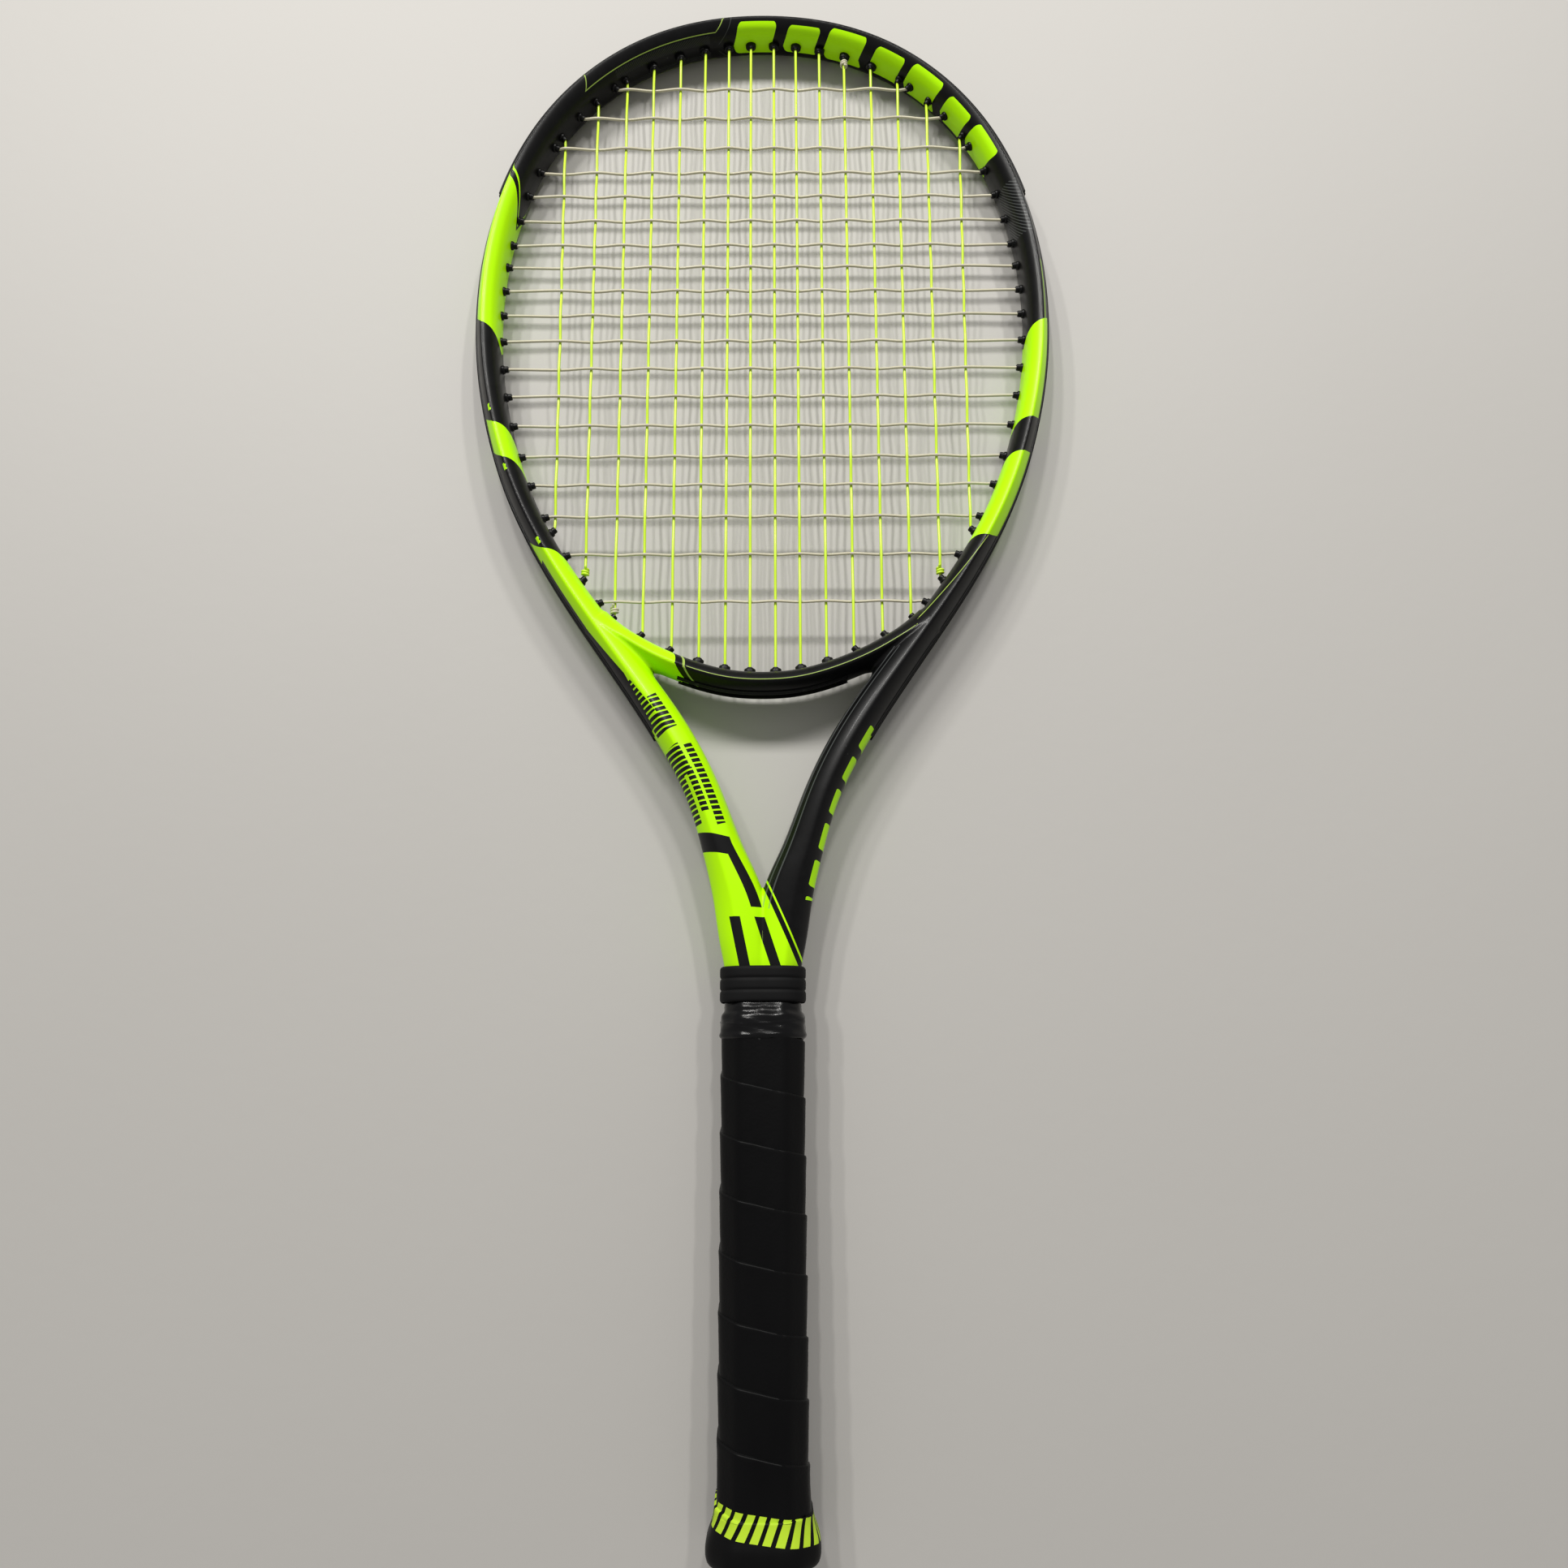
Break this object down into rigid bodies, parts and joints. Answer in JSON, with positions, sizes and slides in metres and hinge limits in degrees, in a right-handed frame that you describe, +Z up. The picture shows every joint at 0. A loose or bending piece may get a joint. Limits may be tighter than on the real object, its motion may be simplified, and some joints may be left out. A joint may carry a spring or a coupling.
{
  "type": "tennis racket",
  "caption": "Strung adult tennis racket with an open-throat frame, woven string bed, grommet strips, wrapped octagonal handle, rubber collar and a butt cap with a trapdoor.",
  "frame": {"origin": "under the middle of the racket's bounding box, on the surface it lies on", "axes": "+Y from the butt to the head tip, +Z up out of the string bed, +X to the right seen from above"},
  "size_m": [0.268, 0.6858, 0.037],
  "materials": {
    "frame_lacquer": "clear-coated paint over carbon composite",
    "bridge_lacquer": "clear-coated paint over carbon composite",
    "black_nylon": "moulded nylon",
    "lime_string": "polyester string",
    "natural_string": "translucent nylon string",
    "pallet_foam": "rigid polyurethane foam",
    "cap_plastic": "satin",
    "staple_steel": "wire",
    "grip_wrap": "embossed synthetic grip wrap",
    "tape_film": "glossy adhesive tape",
    "collar_rubber": "matte"
  },
  "bodies": {
    "racket": {"frame": "frame_lacquer", "throat_bridge": "bridge_lacquer", "head_bumper_guard": "black_nylon", "left_grommet_strip": "black_nylon", "right_grommet_strip": "black_nylon", "throat_grommet_strip": "black_nylon", "main_string": "lime_string", "cross_string": "natural_string", "handle_pallet_upper": "pallet_foam", "handle_pallet_lower": "pallet_foam", "butt_cap": "cap_plastic", "butt_staple_1": "staple_steel", "butt_staple_2": "staple_steel", "butt_staple_3": "staple_steel", "butt_staple_4": "staple_steel", "base_grip": "grip_wrap", "finishing_tape": "tape_film"},
    "trapdoor": {"butt_cap_trapdoor": "cap_plastic"},
    "collar": {"grip_collar": "collar_rubber"}
  },
  "joints": [
    {"name": "trapdoor_slide", "type": "slide", "parent": "racket", "child": "trapdoor", "axis": [0, -1, 0], "range_m": [0, 0.02]},
    {"name": "collar_slide", "type": "slide", "parent": "racket", "child": "collar", "axis": [0, 1, 0], "range_m": [0, 0.002]}
  ]
}
